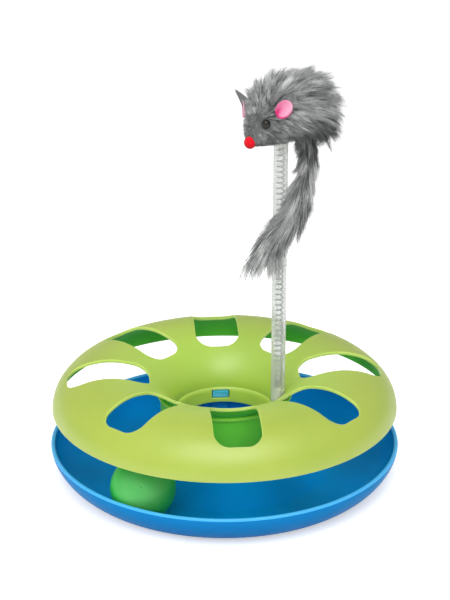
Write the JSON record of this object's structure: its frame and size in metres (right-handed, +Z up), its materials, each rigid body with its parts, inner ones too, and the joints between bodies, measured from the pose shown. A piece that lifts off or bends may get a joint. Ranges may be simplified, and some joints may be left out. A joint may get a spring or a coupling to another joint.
{
  "type": "circle track cat toy",
  "caption": "Round dish with a ball that runs under a slotted domed cover, and a fur mouse swaying on a sleeved spring.",
  "frame": {"origin": "on the floor, under the middle of the dish", "axes": "+Z up along the dish's axis, +X from the middle through a slot, slots at whole eighths of a turn from +X, the spring mast a sixteenth of a turn clockwise from +X"},
  "size_m": [0.24, 0.24, 0.2865],
  "materials": {
    "blue_plastic": "satin",
    "green_plastic": "satin",
    "ball_plastic": "gloss",
    "foot_rubber": "matte",
    "steel": "bright",
    "clear_plastic": "clear",
    "white_plastic": "matte",
    "grey_fur": "long fur",
    "pink_felt": "felt",
    "red_felt": "felt",
    "dark_bead": "gloss"
  },
  "bodies": {
    "frame": {"base_dish": "blue_plastic", "track_cover": "green_plastic", "foot_pad_1": "foot_rubber", "foot_pad_2": "foot_rubber", "foot_pad_3": "foot_rubber", "foot_pad_4": "foot_rubber"},
    "ball_carriage": {"ball_pellet": "steel"},
    "ball": {"ball_front_half": "ball_plastic", "ball_back_half": "ball_plastic"},
    "mast": {"spring_peg": "white_plastic", "spring": "steel", "spring_sleeve": "clear_plastic"},
    "mouse": {"mouse_stem": "white_plastic", "mouse_core": "white_plastic", "mouse_body": "grey_fur", "mouse_head": "grey_fur", "mouse_nose": "red_felt", "mouse_eye_left": "dark_bead", "mouse_eye_right": "dark_bead", "mouse_ear_left": "pink_felt", "mouse_ear_right": "pink_felt"},
    "tail": {"mouse_tail": "grey_fur"}
  },
  "joints": [
    {"name": "ball_orbit", "type": "hinge", "parent": "frame", "child": "ball_carriage", "pos_m": [0, 0, 0.0245], "axis": [0, 0, 1], "continuous": true},
    {"name": "ball_roll", "type": "hinge", "parent": "ball_carriage", "child": "ball", "pos_m": [-0.05985, -0.07287, 0.0245], "axis": [-0.6347, -0.7727, 0], "continuous": true},
    {"name": "mouse_turn", "type": "hinge", "parent": "frame", "child": "mast", "pos_m": [0.03511, -0.01454, 0.0444], "axis": [0, 0, 1], "continuous": true},
    {"name": "mouse_sway", "type": "hinge", "parent": "mast", "child": "mouse", "pos_m": [0.03511, -0.01454, 0.12], "axis": [0, 1, 0], "range_deg": [-40, 40], "stiffness_Nm_per_rad": 0.3, "deforming": ["spring", "spring_sleeve"]},
    {"name": "tail_swing", "type": "hinge", "parent": "mouse", "child": "tail", "pos_m": [0.05231, -0.00174, 0.2387], "axis": [-0.7934, -0.6088, 0], "range_deg": [-4, 35], "stiffness_Nm_per_rad": 0.02}
  ],
  "couplings": [
    {"joint": "ball_roll", "follows": "ball_orbit", "ratio": -4.386}
  ]
}
